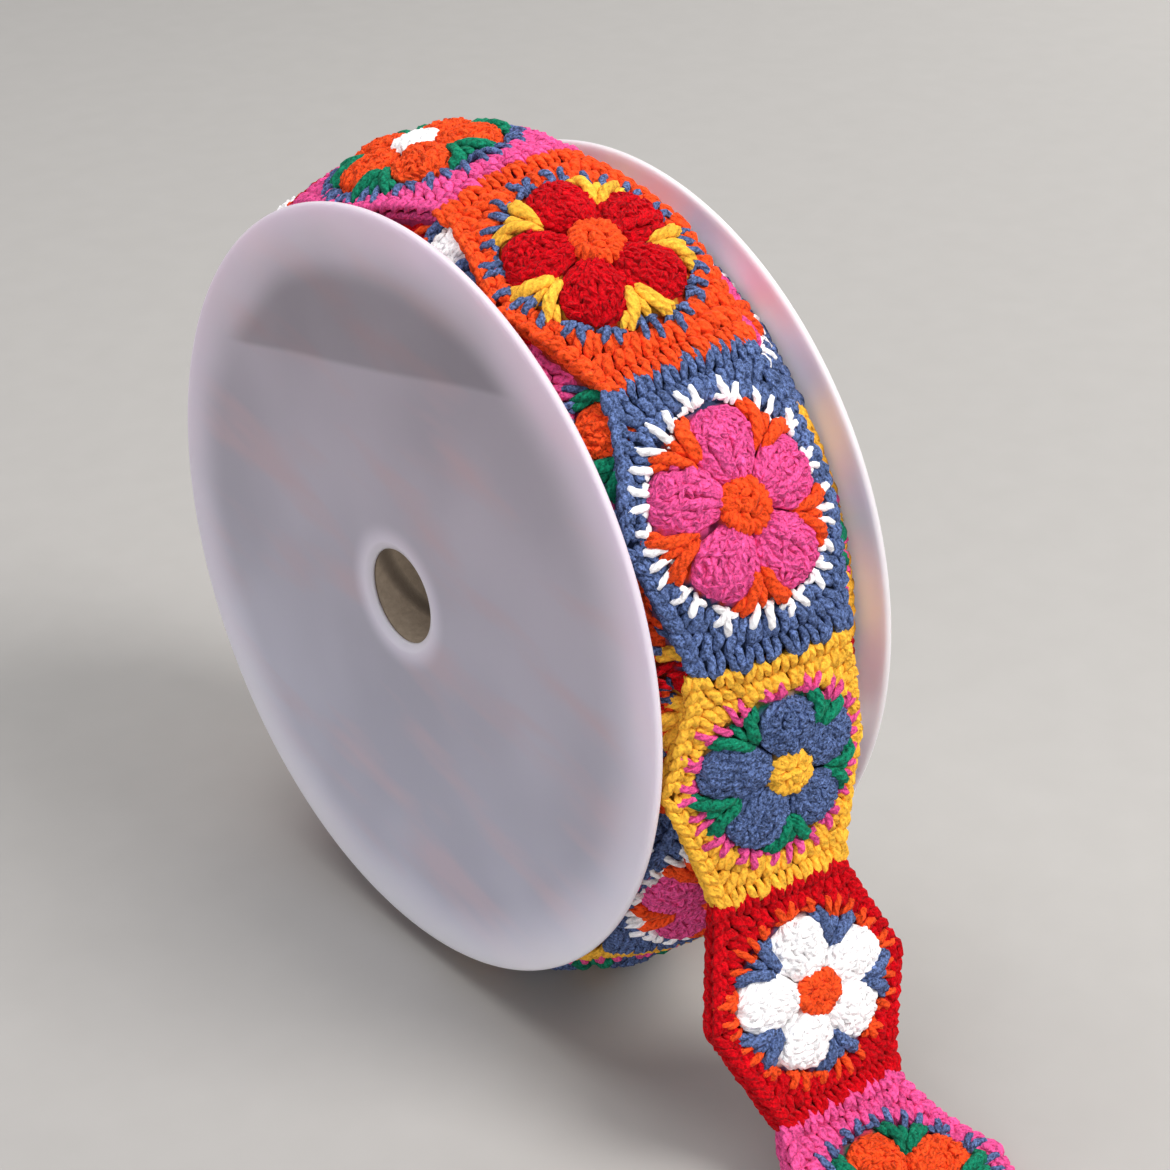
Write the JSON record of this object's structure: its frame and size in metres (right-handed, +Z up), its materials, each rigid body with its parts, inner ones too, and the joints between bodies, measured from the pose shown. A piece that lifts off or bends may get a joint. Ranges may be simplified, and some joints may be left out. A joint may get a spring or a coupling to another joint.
{
  "type": "roll of crochet trim on a plastic spool",
  "caption": "Flat spool wound with a band of joined crochet flower hexagons, its loose end hanging from the front onto the surface.",
  "frame": {"origin": "middle of the bounding box at the surface that the roll stands on", "axes": "+X along the spool's axis from the near flange to the far one, -Y the way the loose end runs out, +Z up"},
  "size_m": [0.0734, 0.299, 0.215],
  "materials": {
    "flange_plastic": "milky, slightly see-through, softly glossy",
    "core_board": "raw brown board",
    "crochet_yarn": "matte cotton yarn in orange, crimson, denim blue, yellow, pink, green and white"
  },
  "bodies": {
    "root": {"flange_near": "flange_plastic", "flange_far": "flange_plastic", "core_tube": "core_board", "wound_roll": "crochet_yarn", "loose_end": "crochet_yarn"}
  },
  "joints": []
}
